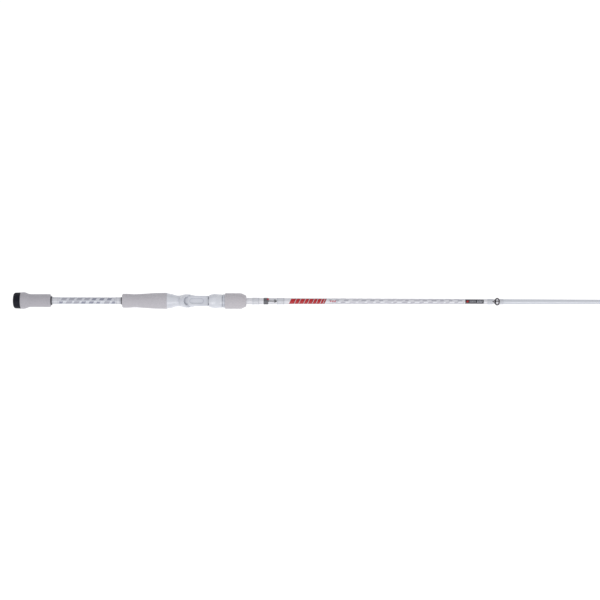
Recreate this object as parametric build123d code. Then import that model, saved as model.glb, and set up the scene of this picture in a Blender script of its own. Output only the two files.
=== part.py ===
from build123d import *
import math
import os

# A one-piece casting rod, ready for its reel. Sizes are in millimetres.
# X runs along the blank from the butt cap's end face (the origin) to the tip.
# The reel and the line guides stand on the +Z side, the trigger on the -Z side.

# Fits
glue_gap = 0.05  # radial film of glue between the blank and what sits on it
running_gap = 0.08  # radial play between pieces that turn or slide on each other
ceramic_gap = 0.02  # radial play of a ceramic ring in its frame
foot_gap = 0.04  # space round a metal foot under its thread wrap
face_gap = 0.2  # space between the end faces of pieces that move
trim = 1.0  # how far a cutting tool runs past the faces it cuts
block_size = 60.0  # side of the blocks that cut whole regions away

# Blank
rod_length = 2134.0
blank_start = 5.0
blank_wall = 1.2
hollow_end = 1300.0  # the tip beyond this is solid
tip_diameter = 1.9
blank_taper = [
    (blank_start, 11.2),
    (170.0, 11.0),
    (375.0, 10.55),
    (580.0, 9.0),
    (840.0, 8.05),
    (940.0, 7.2),
]

# Butt
cap_length = 12.0
cap_wall = 7.45  # from the blank's side to the cap's side
cap_flat_radius = 6.0
cap_dome = 3.6
cap_dome_drop = 0.35  # dome's edge below the cap's side
cap_groove_count = 4
cap_groove_depth = 0.3
butt_grip_length = 48.0
butt_grip_flare = 7.85  # foam thickness at the flare
butt_grip_flare_rise = 0.15
butt_grip_flare_flat = 4.0
butt_grip_wall = 4.8
butt_grip_flare_length = 16.5
butt_grip_flare_bend = 5.0  # how far the curve runs on straight at the flare
butt_grip_foot_bend = 6.0  # and at the straight part
butt_grip_nose = 2.0

# Bare blank between the two rear grips
split_length = 114.5
check_wall = 1.4
check_length = 3.5
check_recess = 1.5
rear_check_wall = 0.4
rear_check_length = 2.0
butt_trim_length = 11.6
rear_trim_length = 9.0
trim_build = 0.27  # thread and resin on the blank
resin_edge = 0.08  # resin left at the ends of a wrap

# Rear grip: (share of its length, foam thickness)
rear_grip_length = 71.9
rear_grip_shape = [
    (0.0, 5.75),
    (0.14, 5.65),
    (0.27, 5.15),
    (0.45, 5.75),
    (0.72, 7.05),
    (1.0, 7.5),
]
rear_grip_nose = 2.0

# Reel seat
arbor_wall = 0.9
arbor_length = 8.0
seat_wall = 1.5
seat_rear_wall = 6.1
seat_cone_length = 17.9
seat_cone_middle_wall = 4.4
neck_wall = 2.3
pod_wall = 4.45  # widest place of the seat, beside the fixed hood
pod_length = 13.2  # neck to widest place
pod_run_out = 21.0  # widest place to the straight deck
deck_length = 13.9
deck_proud = 0.1  # deck above the barrel's top
deck_rail = 0.35  # deck beyond the barrel's side
deck_edge = 1.8
rail_bottom = 1.0
pod_depth = 3.0  # the fixed hood's egg shape is centred this far below the deck
pod_half_length = 12.6
pod_roof = 1.25
mouth_slope = 45.0  # degrees between the mouth's face and the deck
mouth_back = 4.9  # top of the mouth behind the pod's widest place
pocket_radius = 7.0
pocket_step = 0.2  # floor of the fixed hood's pocket below the deck
recess_length = 23.0
recess_width = 8.3
recess_depth = 0.7
recess_lead = 5.2

# Trigger: (depth under the axis, place along X from the neck, half length, half width)
trigger_shape = [
    (6.0, 6.0, 13.5, 5.8),
    (12.0, 5.2, 7.0, 4.6),
    (18.0, 6.0, 4.4, 3.9),
    (24.0, 8.0, 3.3, 3.4),
    (27.4, 9.8, 2.4, 2.6),
]
trigger_tip_round = 1.4

# Thread of the barrel and the nut
thread_pitch = 2.0
thread_depth = 0.5
open_turns = 6.0
close_turns = 0.8

# Sliding hood: (share of its length, wall over the bore, lift of the roof)
hood_length = 20.4
hood_shape = [(0.0, 1.3, 5.2), (0.2, 2.8, 5.0), (0.42, 3.46, 4.3), (0.75, 2.95, 1.9), (1.0, 2.8, 0.3)]
hood_pocket_depth = 11.0
hood_pocket_lift = 5.2  # the pocket's roof above the bore
key_width = 2.4
key_height = 0.8
collar_wall = 1.2
collar_length = 3.0
clip_width = 0.8
clip_seat = 0.6
clip_reach = 0.65
clip_split = 3.0

# Nut and fore grip
nut_rim_gap = 0.8
nut_flange_wall = 2.75
nut_flange_length = 3.7
nut_flange_edge = 0.4
nut_sleeve_wall = 2.3
nut_sleeve_length = 24.4
fore_grip_length = 34.2
fore_grip_wall = 2.3
fore_grip_taper_length = 9.9
fore_grip_front_drop = 5.2
fore_grip_nose_length = 3.4
fore_grip_nose_drop = 2.25
fore_grip_nose_slope = 0.36
fore_grip_edge = 1.5
fore_grip_end_wall = 3.4
fore_grip_play = 0.6  # the grip's front opening round the blank
cavity_play = 0.7

# Hook keeper
fore_trim_lead = 9.3  # from the fore grip's front
fore_trim_length = 12.3
keeper_lead = 28.6
keeper_dark_length = 7.5
keeper_bridge_length = 11.0
keeper_front_length = 12.8
keeper_gap = 1.7
keeper_height = 3.4
keeper_wire = 1.1
keeper_bar_width = 5.6
keeper_bar_length = 1.0
keeper_leg_lead = 0.9
keeper_leg_run = 1.3
keeper_leg_end = 0.4  # wire under the thread
keeper_bend = 0.6

# Line guides, from the handle to the tip
first_guide_x = 774.2
last_guide_to_tip = 102.0
guide_gap_ratio = 0.904  # each gap to the one before it
frame_outer = [12.3, 10.4, 8.8, 7.4, 7.0, 6.8, 6.8, 6.6, 6.6]  # outer diameters of the ring holders
ring_clear = [4.6, 3.8, 3.2, 1.8, 1.6, 1.6, 1.6, 1.6, 1.6]  # free height under the ring holders
double_foot_count = 3
guide_lean = 31.0  # degrees towards the tip
holder_edge = 0.25
frame_wall = 0.75
frame_width = 1.3
ceramic_wall = 0.95
ceramic_width = 1.9
ceramic_round = 0.5
leg_radius = 0.6
leg_spread = 25.0  # degrees under the ring's middle where a rear leg meets it
apex_lead = 0.40  # apex behind the ring's centre, as a share of the ring holder's diameter
front_lead = 0.31  # front leg ahead of the ring's centre, the same share
apex_half_width = 0.25
front_foot_share = 0.75  # front foot's length to the rear foot's
front_leg_drop = 0.35  # front leg's end outside the middle of the holder's metal
foot_length = 8.0
foot_width = 1.8
foot_thick = 0.6
foot_thin = 0.15
wrap_build = 0.35
wrap_lead = 1.5
wrap_taper = 0.7
hump_half_width = 1.6
hump_height = 1.05

# Tip top
tip_ring_outer = 6.6
tip_tube_wall = 0.5
tip_tube_length = 13.0
tip_leg_back = 7.5
tip_wrap_length = 3.0
tip_ring_sink = 0.2  # holder's bottom into the tube's top
tip_leg_rise = 0.6
tip_leg_angle = 10.0  # degrees under the ring's middle
tip_blank_gap = 1.0  # space at the blind end of the tube

# Stations along X
butt_grip_start = cap_length
butt_grip_end = butt_grip_start + butt_grip_length
rear_grip_start = butt_grip_end + split_length
seat_start = rear_grip_start + rear_grip_length
neck_x = seat_start + seat_cone_length
pod_x = neck_x + pod_length
deck_x = pod_x + pod_run_out
deck_end = deck_x + deck_length
close_travel = close_turns * thread_pitch
open_travel = open_turns * thread_pitch
hood_start = deck_end + close_travel + face_gap
hood_end = hood_start + hood_length
nut_start = hood_end + nut_rim_gap
sleeve_start = nut_start + nut_flange_length
fore_grip_start = sleeve_start
fore_grip_end = fore_grip_start + fore_grip_length
end_wall_start = fore_grip_end - fore_grip_end_wall
barrel_end = end_wall_start - close_travel - face_gap
keeper_start = fore_grip_end + keeper_lead
bridge_start = keeper_start + keeper_dark_length
bridge_end = bridge_start + keeper_bridge_length
keeper_rear_tip = keeper_start + 0.8
keeper_front_tip = bridge_end + keeper_gap + keeper_front_length - wrap_lead
tip_lean = math.radians(guide_lean)
tip_ring_x = rod_length - tip_ring_outer / 2 * math.sin(tip_lean) - ceramic_width / 2 * math.cos(tip_lean)
tip_tube_end = tip_ring_x - (tip_ring_outer - frame_wall) / 2 * math.sin(tip_lean)
blank_end = tip_tube_end - tip_blank_gap
tip_tube_start = tip_tube_end - tip_tube_length
tip_tube_radius = tip_diameter / 2 + 3 * glue_gap + tip_tube_wall
tip_ring_height = tip_tube_radius + (tip_ring_outer - frame_wall) / 2 * math.cos(tip_lean) - tip_ring_sink
taper = blank_taper + [(blank_end, tip_diameter)]


def blank_radius(x):
    for (x0, d0), (x1, d1) in zip(taper, taper[1:]):
        if x <= x1:
            return (d0 + (d1 - d0) * (x - x0) / (x1 - x0)) / 2
    return tip_diameter / 2


# Radii of what is built up on the blank
seat_bore = blank_radius(seat_start) + arbor_wall + 2 * glue_gap
barrel_radius = seat_bore + seat_wall
deck_height = barrel_radius + deck_proud
deck_half_width = barrel_radius + deck_rail
pod_radius = seat_bore + pod_wall
pod_centre = deck_height - pod_depth
hood_bore = barrel_radius + running_gap
sleeve_radius = hood_bore + nut_sleeve_wall
fore_grip_radius = sleeve_radius + glue_gap + fore_grip_wall
fore_grip_bore = blank_radius(fore_grip_end) + fore_grip_play


# The solid that a closed outline beside the X axis makes as it turns round that axis
def turned(*lines):
    edges = [edge for line in lines for edge in line.edges()]
    return revolve(make_face(edges), Axis.X)


def tube(x0, x1, inner, outer):
    return turned(Polyline((x0, inner), (x1, inner), (x1, outer), (x0, outer), close=True))


# The blank's own taper between two stations, grown by gap: it cuts the bore of what sits on it
def blank_core(x0, x1, gap):
    inside = [x for x, diameter in taper if x0 < x < x1]
    side = [(x, blank_radius(x) + gap) for x in [x0, *inside, x1]]
    return turned(Polyline((x0, 0), *side, (x1, 0), close=True))


# Thread and resin on the blank, tapered at both ends
def wrap_sleeve(x0, x1, build):
    points = [(x0, resin_edge), (x0 + wrap_taper, build), (x1 - wrap_taper, build), (x1, resin_edge)]
    side = [(x, blank_radius(x) + glue_gap + thickness) for x, thickness in points]
    outside = turned(Polyline((x0, 0), *side, (x1, 0), close=True))
    return outside - blank_core(x0 - trim, x1 + trim, glue_gap)


def round_bar(start, end, radius):
    start = Vector(*start)
    way = Vector(*end) - start
    return extrude(Plane(origin=start, z_dir=way) * Circle(radius), way.length)


def circular_edges(solid, radius, x):
    edges = solid.edges().filter_by(GeomType.CIRCLE)
    return [e for e in edges if abs(e.radius - radius) < 0.01 and abs(e.center().X - x) < 0.01]


def rod_blank():
    outside = blank_core(blank_start, blank_end, 0)
    side = [(x, blank_radius(x) - blank_wall) for x, diameter in taper if x < hollow_end]
    side.append((hollow_end, blank_radius(hollow_end) - blank_wall))
    hollow = turned(Polyline((blank_start, 0), *side, (hollow_end, 0), close=True))
    return outside - hollow


def butt_cap():
    cap_radius = blank_radius(blank_start) + cap_wall
    dome_top = (cap_dome, cap_radius - cap_dome_drop)
    dome = Spline((0, cap_flat_radius), dome_top, tangents=[(0, 1), (1, 0.15)])
    rest = Polyline(dome_top, (cap_length, cap_radius), (cap_length, 0), (0, 0), (0, cap_flat_radius))
    cap = turned(dome, rest)
    pitch = (cap_length - cap_dome) / cap_groove_count
    for i in range(cap_groove_count):
        middle = cap_dome + (i + 0.55) * pitch
        cap -= tube(middle - pitch / 5, middle + pitch / 5, cap_radius - cap_groove_depth, cap_radius + trim)
    return cap - blank_core(blank_start, cap_length + trim, glue_gap)


def butt_grip():
    core = blank_radius(butt_grip_start)
    flare_radius = core + butt_grip_flare
    body_radius = core + butt_grip_wall
    flat_end = butt_grip_start + butt_grip_flare_flat
    slope_end = butt_grip_start + butt_grip_flare_length
    slope = Bezier(
        (flat_end, flare_radius),
        (flat_end + butt_grip_flare_bend, flare_radius),
        (slope_end - butt_grip_foot_bend, body_radius),
        (slope_end, body_radius),
    )
    rest = Polyline(
        (slope_end, body_radius),
        (butt_grip_end, body_radius),
        (butt_grip_end, 0),
        (butt_grip_start, 0),
        (butt_grip_start, flare_radius - butt_grip_flare_rise),
        (flat_end, flare_radius),
    )
    grip = turned(slope, rest)
    grip = fillet(circular_edges(grip, body_radius, butt_grip_end), butt_grip_nose)
    grip -= blank_core(butt_grip_start - trim, butt_grip_end + trim, glue_gap)
    check_radius = blank_radius(butt_grip_end) + glue_gap + check_wall
    return grip - tube(butt_grip_end - check_recess, butt_grip_end + trim, 0, check_radius + glue_gap)


def check_ring(x0, length, wall):
    outer = blank_radius(x0) + glue_gap + wall
    ring = tube(x0, x0 + length, 0, outer)
    ring = chamfer(circular_edges(ring, outer, x0 + length), wall / 4)
    return ring - blank_core(x0 - trim, x0 + length + trim, glue_gap)


def rear_grip():
    core = blank_radius(rear_grip_start)
    points = [(rear_grip_start + share * rear_grip_length, core + wall) for share, wall in rear_grip_shape]
    side = Spline(*points)
    rest = Polyline(points[-1], (seat_start, 0), (rear_grip_start, 0), points[0])
    grip = turned(side, rest)
    grip = fillet(circular_edges(grip, points[0][1], rear_grip_start), rear_grip_nose)
    return grip - blank_core(rear_grip_start - trim, seat_start + trim, glue_gap)


# Turned shell of the seat from its rear face to the end of the deck
def seat_shell():
    rear = (seat_start, seat_bore + seat_rear_wall)
    cone = (seat_start + seat_cone_length / 2, seat_bore + seat_cone_middle_wall)
    neck = (neck_x, seat_bore + neck_wall)
    pod = (pod_x, pod_radius)
    deck = (deck_x, barrel_radius)
    lines = [
        Spline(rear, cone, neck, tangents=[(1, -0.2), (1, 0)]),
        Spline(neck, pod, tangents=[(1, 0), (1, 0)]),
        Spline(pod, deck, tangents=[(1, 0), (1, 0)]),
        Polyline(deck, (deck_end, barrel_radius), (deck_end, 0), (seat_start, 0), rear),
    ]
    above_deck = Box(block_size, block_size, block_size, align=(Align.MIN, Align.CENTER, Align.MIN))
    return turned(*lines) - Pos(pod_x - pod_half_length / 2, 0, deck_height) * above_deck


# Flat-topped block that the reel's foot lies on
def deck_block():
    block = Pos(pod_x, 0, rail_bottom) * Box(
        deck_end - pod_x,
        2 * deck_half_width,
        deck_height - rail_bottom,
        align=(Align.MIN, Align.CENTER, Align.MIN),
    )
    return fillet(block.edges().filter_by(Axis.X).group_by(Axis.Z)[-1], deck_edge)


# An egg that is round across and longer along X
def egg(x, z, half_length, radius):
    side = Ellipse(half_length, radius) & Pos(0, radius / 2) * Rectangle(2 * half_length, radius)
    return Pos(x, 0, z) * revolve(side, Axis.X)


# Ring grooves that stand for the thread, cut into a shaft's outside
def thread_grooves(x0, x1, crest, depth):
    count = int((x1 - x0) / thread_pitch)
    grooves = []
    for i in range(count):
        middle = x0 + (i + 0.5) * thread_pitch
        flank = thread_pitch * 0.4
        points = [(middle - flank, crest), (middle, crest - depth), (middle + flank, crest)]
        out = crest + math.copysign(trim / 2, depth)
        grooves.append(turned(Polyline((middle - flank, out), *points, (middle + flank, out), close=True)))
    return grooves


def key_slot(width, x0, x1, inner, outer):
    slot = Box(x1 - x0, width, outer - inner, align=(Align.MIN, Align.CENTER, Align.MAX))
    return Pos(x0, 0, -inner) * slot


def trigger():
    sections = []
    for depth, lead, half_length, half_width in trigger_shape:
        plane = Plane(origin=(neck_x + lead, 0, -depth), x_dir=(1, 0, 0), z_dir=(0, 0, -1))
        sections.append(plane * Ellipse(half_length, half_width))
    hook = loft(sections)
    tip = hook.faces().sort_by(Axis.Z)[0]
    return fillet(tip.edges(), trigger_tip_round)


# The fixed hood: an egg whose mouth is a sloping face, hollowed for the end of the reel's foot
def fixed_hood():
    pod = egg(pod_x, pod_centre, pod_half_length, pod_radius)
    mouth = Pos(pod_x - mouth_back, 0, pod_centre + pod_radius) * Rot(0, mouth_slope, 0)
    in_front = Box(block_size, block_size, block_size, align=(Align.CENTER, Align.CENTER, Align.MIN))
    return pod - mouth * in_front


def foot_pocket():
    centre = pod_centre + pod_radius - pod_roof - pocket_radius
    hollow = egg(pod_x, centre, pod_half_length - pod_roof, pocket_radius)
    rise = pod_centre + pod_radius - deck_height
    mouth_foot = pod_x - mouth_back + rise / math.tan(math.radians(mouth_slope))
    behind = Box(block_size, block_size, block_size, align=(Align.MAX, Align.CENTER, Align.MIN))
    return hollow & Pos(mouth_foot, 0, deck_height - pocket_step) * behind


def threaded_barrel():
    barrel = tube(deck_end - trim, barrel_end, 0, barrel_radius)
    for groove in thread_grooves(nut_start - 4 * thread_pitch, barrel_end, barrel_radius, thread_depth):
        barrel -= groove
    slot_end = hood_end + open_travel + face_gap
    return barrel - key_slot(key_width, deck_end, slot_end, barrel_radius - key_height, barrel_radius + trim)


def reel_seat_body():
    seat = seat_shell() + deck_block()
    seat += fixed_hood()
    seat -= foot_pocket()
    recess_x = pod_x + recess_lead + recess_length / 2
    recess = SlotOverall(recess_length, recess_width)
    seat -= extrude(Pos(recess_x, 0, deck_height - recess_depth) * recess, recess_depth + trim)
    seat += threaded_barrel()
    seat += trigger()
    return seat - tube(seat_start - trim, barrel_end + trim, 0, seat_bore)


def seat_arbors():
    places = [
        seat_start + arbor_length,
        (seat_start + barrel_end) / 2,
        barrel_end - arbor_length,
    ]
    bushes = []
    for x in places:
        bush = tube(x - arbor_length / 2, x + arbor_length / 2, 0, seat_bore - glue_gap)
        bushes.append(bush - blank_core(x - arbor_length, x + arbor_length, glue_gap))
    return bushes


def sliding_hood():
    sections = []
    for share, wall, lift in hood_shape:
        x = hood_start + share * hood_length
        plane = Plane(origin=(x, 0, 0), x_dir=(0, 1, 0), z_dir=(1, 0, 0))
        outline = Pos(0, lift / 2) * Rot(0, 0, 90) * SlotCenterToCenter(lift, 2 * (hood_bore + wall))
        sections.append(plane * outline)
    hood = loft(sections)
    collar_end = hood_end + collar_length
    hood += tube(hood_end - trim, collar_end, 0, hood_bore + collar_wall)
    clip_x = hood_end + nut_rim_gap + face_gap
    clip_floor = hood_bore + collar_wall - clip_seat
    hood -= tube(clip_x, clip_x + clip_width + 2 * glue_gap, clip_floor, hood_bore + collar_wall + trim)
    hood -= tube(hood_start - trim, collar_end + trim, 0, hood_bore)
    mouth = Plane(origin=(hood_start - trim, 0, 0), x_dir=(0, 1, 0), z_dir=(1, 0, 0))
    stadium = SlotCenterToCenter(hood_pocket_lift, 2 * hood_bore)
    pocket = Pos(0, hood_pocket_lift / 2) * Rot(0, 0, 90) * stadium
    hood -= extrude(mouth * pocket, hood_pocket_depth + trim)
    key = key_slot(
        key_width - 2 * running_gap,
        hood_start + 2,
        hood_end - 2,
        barrel_radius - key_height + running_gap,
        hood_bore + 0.5,
    )
    return hood + key


def hood_clip_ring():
    clip_x = hood_end + nut_rim_gap + face_gap + glue_gap
    inner = hood_bore + collar_wall - clip_seat + glue_gap
    outer = hood_bore + collar_wall + clip_reach
    ring = tube(clip_x, clip_x + clip_width, inner, outer)
    return ring - Pos(clip_x, 0, -outer) * Box(4 * clip_width, clip_split, outer)


def lock_nut():
    flange = tube(nut_start, sleeve_start, 0, hood_bore + nut_flange_wall)
    flange = fillet(circular_edges(flange, hood_bore + nut_flange_wall, nut_start), nut_flange_edge)
    sleeve_end = sleeve_start + nut_sleeve_length
    nut = flange + tube(sleeve_start - trim, sleeve_end, 0, sleeve_radius)
    nut -= tube(nut_start - trim, sleeve_end + trim, 0, hood_bore)
    collar_room = hood_end + collar_length + face_gap
    nut -= tube(nut_start - trim, collar_room, 0, hood_bore + collar_wall + running_gap)
    clip_room = hood_bore + collar_wall + clip_reach + running_gap
    clip_start = nut_start + face_gap
    nut -= tube(clip_start - 2 * glue_gap, clip_start + clip_width + 4 * glue_gap, 0, clip_room)
    for groove in thread_grooves(collar_room + trim, sleeve_end, hood_bore, -thread_depth):
        nut -= groove
    return nut


def fore_grip():
    taper_start = fore_grip_end - fore_grip_taper_length
    front_radius = fore_grip_radius - fore_grip_front_drop
    nose_start = (fore_grip_end - fore_grip_nose_length, fore_grip_radius - fore_grip_nose_drop)
    nose_way = [(1, -fore_grip_nose_slope), (0, -1)]
    nose = Spline(nose_start, (fore_grip_end, front_radius), tangents=nose_way)
    rest = Polyline(
        (fore_grip_end, front_radius),
        (fore_grip_end, 0),
        (fore_grip_start, 0),
        (fore_grip_start, fore_grip_radius),
        (taper_start, fore_grip_radius),
        nose_start,
    )
    grip = turned(nose, rest)
    grip = fillet(circular_edges(grip, fore_grip_radius, fore_grip_start), fore_grip_edge)
    grip -= tube(fore_grip_start - trim, sleeve_start + nut_sleeve_length, 0, sleeve_radius + glue_gap)
    grip -= tube(fore_grip_start - trim, end_wall_start, 0, barrel_radius + cavity_play)
    return grip - tube(end_wall_start - trim, fore_grip_end + trim, 0, fore_grip_bore)


# A flat foot on the blank's top, thin at the end that the thread climbs on to
def foot(thin_x, thick_x, gap):
    seat_z = max(blank_radius(thin_x), blank_radius(thick_x)) + glue_gap
    way = math.copysign(1, thick_x - thin_x)
    points = [
        (thin_x - way * gap, seat_z - gap),
        (thin_x - way * gap, seat_z + foot_thin + gap),
        (thick_x, seat_z + foot_thick + gap),
        (thick_x + way * leg_radius, seat_z + foot_thick + gap),
        (thick_x + way * leg_radius, seat_z - gap),
    ]
    side = make_face(Plane.XZ * Polyline(*points, close=True))
    return extrude(side, foot_width / 2 + gap, both=True)


# Thread over a foot: a sleeve with a hump along the foot
def foot_wrap(thin_x, thick_x, build):
    x0 = min(thin_x, thick_x)
    x1 = max(thin_x, thick_x)
    if thin_x < thick_x:
        x0 -= wrap_lead
    else:
        x1 += wrap_lead
    sleeve = wrap_sleeve(x0, x1, build)
    low = (blank_radius(x0) + blank_radius(x1)) / 2
    hump_plane = Plane(origin=(x0 + wrap_taper / 2, 0, low), x_dir=(0, 1, 0), z_dir=(1, 0, 0))
    hump = extrude(hump_plane * Ellipse(hump_half_width, hump_height), x1 - x0 - wrap_taper)
    hump -= blank_core(x0 - trim, x1 + trim, glue_gap)
    wrap = sleeve + hump
    return wrap - foot(thin_x, thick_x, foot_gap)


def hook_keeper():
    top = blank_radius(bridge_start) + keeper_height
    low = blank_radius(bridge_start) + glue_gap + keeper_wire / 2
    leg_top = keeper_leg_lead + keeper_leg_run
    points = [
        (bridge_start - keeper_leg_end, 0, low),
        (bridge_start + keeper_leg_lead, 0, low),
        (bridge_start + leg_top, 0, top),
        (bridge_end - leg_top, 0, top),
        (bridge_end - keeper_leg_lead, 0, low),
        (bridge_end + keeper_leg_end, 0, low),
    ]
    path = FilletPolyline(*points, radius=keeper_bend)
    wire = sweep(Plane(origin=points[0], z_dir=(1, 0, 0)) * Circle(keeper_wire / 2), path)
    rear_foot = foot(keeper_rear_tip, bridge_start - 0.2, 0)
    front_foot = foot(keeper_front_tip, bridge_end - 0.6, 0)
    bar = Pos(bridge_end - keeper_bar_length, 0, low) * Box(keeper_bar_length, keeper_bar_width, keeper_wire)
    keeper = wire + rear_foot + front_foot + bar
    return keeper - blank_core(keeper_start - 2, bridge_end + 20, glue_gap)


def guide_places():
    gaps = len(frame_outer) - 1
    span = rod_length - last_guide_to_tip - first_guide_x
    first_gap = span * (1 - guide_gap_ratio) / (1 - guide_gap_ratio**gaps)
    places = [first_guide_x]
    for i in range(gaps):
        places.append(places[-1] + first_gap * guide_gap_ratio**i)
    return places


# Sizes of one guide, from its place and its number
def guide_sizes(number, x):
    outer = frame_outer[number] / 2
    lean = math.radians(guide_lean)
    height = blank_radius(x) + ring_clear[number] + outer * math.cos(lean)
    apex = x - apex_lead * 2 * outer
    front = x + front_lead * 2 * outer
    return {"x": x, "outer": outer, "height": height, "apex": apex, "front": front}


def ring_place(x, height):
    return Pos(x, 0, height) * Rot(0, guide_lean, 0)


def ring_holder(outer):
    holder = tube(-frame_width / 2, frame_width / 2, outer - frame_wall, outer)
    return fillet(holder.edges().filter_by(GeomType.CIRCLE), holder_edge)


def ceramic_ring(outer):
    ring_outer = outer - frame_wall - ceramic_gap
    ring = tube(-ceramic_width / 2, ceramic_width / 2, ring_outer - ceramic_wall, ring_outer)
    inner_edges = circular_edges(ring, ring_outer - ceramic_wall, -ceramic_width / 2)
    inner_edges += circular_edges(ring, ring_outer - ceramic_wall, ceramic_width / 2)
    return fillet(inner_edges, ceramic_round)


# A point in the middle of the holder's metal, at an angle from its side, in the rod's frame
def holder_point(x, height, outer, angle, side):
    middle = outer - frame_wall / 2
    lean = math.radians(guide_lean)
    across = side * middle * math.cos(angle)
    up = middle * math.sin(angle)
    return (x + up * math.sin(lean), across, height + up * math.cos(lean))


def guide_frame(sizes, double):
    x = sizes["x"]
    height = sizes["height"]
    outer = sizes["outer"]
    apex = sizes["apex"]
    frame = ring_place(x, height) * ring_holder(outer)
    low = blank_radius(apex - foot_length) + glue_gap + leg_radius
    spread = -math.radians(leg_spread if double else 2 * leg_spread)
    for side in (-1, 1):
        top = holder_point(x, height, outer, spread, side)
        frame += round_bar((apex, side * apex_half_width, low), top, leg_radius * 0.85)
    frame += Pos(apex, 0, low) * Sphere(leg_radius * 1.1)
    frame += foot(apex - foot_length, apex - 0.2, 0)
    if double:
        front = sizes["front"]
        bottom = holder_point(x, height, outer + front_leg_drop, -math.pi / 2, 1)
        front_low = blank_radius(front) + glue_gap + leg_radius
        frame += round_bar((front, 0, front_low), bottom, leg_radius)
        frame += Pos(front, 0, front_low) * Sphere(leg_radius * 1.05)
        frame += foot(front + foot_length * front_foot_share, front + 0.2, 0)
    frame -= blank_core(apex - foot_length - trim, x + 2 * foot_length, glue_gap)
    opening = tube(-ceramic_width, ceramic_width, 0, outer - frame_wall)
    return frame - ring_place(x, height) * opening


def guide_wrap(sizes, double):
    apex = sizes["apex"]
    wraps = [foot_wrap(apex - foot_length, apex - leg_radius * 1.6, wrap_build)]
    if double:
        front = sizes["front"]
        wraps.append(foot_wrap(front + foot_length * front_foot_share, front + leg_radius * 1.6, wrap_build))
    return wraps


def tip_top_frame():
    outer = tip_ring_outer / 2
    sleeve = tube(tip_tube_start, tip_tube_end, 0, tip_tube_radius)
    sleeve = fillet(circular_edges(sleeve, tip_tube_radius, tip_tube_end), tip_tube_radius / 2)
    frame = sleeve + ring_place(tip_ring_x, tip_ring_height) * ring_holder(outer)
    for side in (-1, 1):
        top = holder_point(tip_ring_x, tip_ring_height, outer, -math.radians(tip_leg_angle), side)
        start = (tip_tube_end - tip_leg_back, side * (tip_tube_radius - leg_radius / 2), tip_leg_rise)
        frame += round_bar(start, top, leg_radius * 0.75)
    frame -= blank_core(tip_tube_start - trim, blank_end, glue_gap)
    opening = tube(-ceramic_width, ceramic_width, 0, outer - frame_wall)
    return frame - ring_place(tip_ring_x, tip_ring_height) * opening


def tip_top_ring():
    return ring_place(tip_ring_x, tip_ring_height) * ceramic_ring(tip_ring_outer / 2)


check_start = butt_grip_end - check_recess
trim_start = check_start + check_length
rear_check_start = rear_grip_start - rear_check_length
fore_trim_start = fore_grip_end + fore_trim_lead
nodes = {
    "butt_cap": butt_cap(),
    "butt_grip": butt_grip(),
    "butt_check_ring": check_ring(check_start, check_length, check_wall),
    "butt_trim_wrap": wrap_sleeve(trim_start, trim_start + butt_trim_length, trim_build),
    "rod_blank": rod_blank(),
    "rear_trim_wrap": wrap_sleeve(rear_check_start - rear_trim_length, rear_check_start, trim_build),
    "rear_check_ring": check_ring(rear_check_start, rear_check_length, rear_check_wall),
    "rear_grip": rear_grip(),
    "reel_seat_body": reel_seat_body(),
    "seat_arbors": seat_arbors(),
    "sliding_hood": sliding_hood(),
    "hood_clip_ring": hood_clip_ring(),
    "lock_nut": lock_nut(),
    "fore_grip": fore_grip(),
    "fore_trim_wrap": wrap_sleeve(fore_trim_start, fore_trim_start + fore_trim_length, trim_build),
    "hook_keeper": hook_keeper(),
    "keeper_rear_wrap": foot_wrap(keeper_rear_tip, bridge_start - 0.8, trim_build),
    "keeper_front_wrap": foot_wrap(keeper_front_tip, bridge_end + keeper_gap, trim_build),
}
for number, place in enumerate(guide_places()):
    sizes = guide_sizes(number, place)
    double = number < double_foot_count
    name = f"guide_{number + 1}"
    nodes[name + "_frame"] = guide_frame(sizes, double)
    nodes[name + "_ring"] = ring_place(place, sizes["height"]) * ceramic_ring(sizes["outer"])
    nodes[name + "_wrap"] = guide_wrap(sizes, double)
nodes["tip_top_frame"] = tip_top_frame()
nodes["tip_top_ring"] = tip_top_ring()
nodes["tip_top_wrap"] = wrap_sleeve(tip_tube_start - tip_wrap_length, tip_tube_start, wrap_build)

os.makedirs("parts", exist_ok=True)
for name, shape in nodes.items():
    pieces = shape if isinstance(shape, list) else [shape]
    solids = [solid for piece in pieces for solid in piece.solids()]
    export_step(Compound(children=solids), f"parts/{name}.step")
    print(name, len(solids), "solids")
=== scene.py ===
import math

import bmesh
import bpy
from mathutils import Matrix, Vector, noise


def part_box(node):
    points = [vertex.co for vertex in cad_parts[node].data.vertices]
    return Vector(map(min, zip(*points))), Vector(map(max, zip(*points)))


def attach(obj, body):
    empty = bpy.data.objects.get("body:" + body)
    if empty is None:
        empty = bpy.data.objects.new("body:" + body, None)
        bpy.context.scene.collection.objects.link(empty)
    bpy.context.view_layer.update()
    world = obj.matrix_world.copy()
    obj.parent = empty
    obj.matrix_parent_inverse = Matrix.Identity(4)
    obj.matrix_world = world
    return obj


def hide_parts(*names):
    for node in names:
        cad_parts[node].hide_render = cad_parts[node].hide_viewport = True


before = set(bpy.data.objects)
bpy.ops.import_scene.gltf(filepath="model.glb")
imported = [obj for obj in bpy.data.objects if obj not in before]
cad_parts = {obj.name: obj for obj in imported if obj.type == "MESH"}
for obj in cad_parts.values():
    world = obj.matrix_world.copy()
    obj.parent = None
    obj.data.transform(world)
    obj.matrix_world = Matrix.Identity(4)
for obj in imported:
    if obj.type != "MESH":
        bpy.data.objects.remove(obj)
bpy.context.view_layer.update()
print("loaded the rod:", len(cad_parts), "nodes")

mm = 0.001

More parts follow.
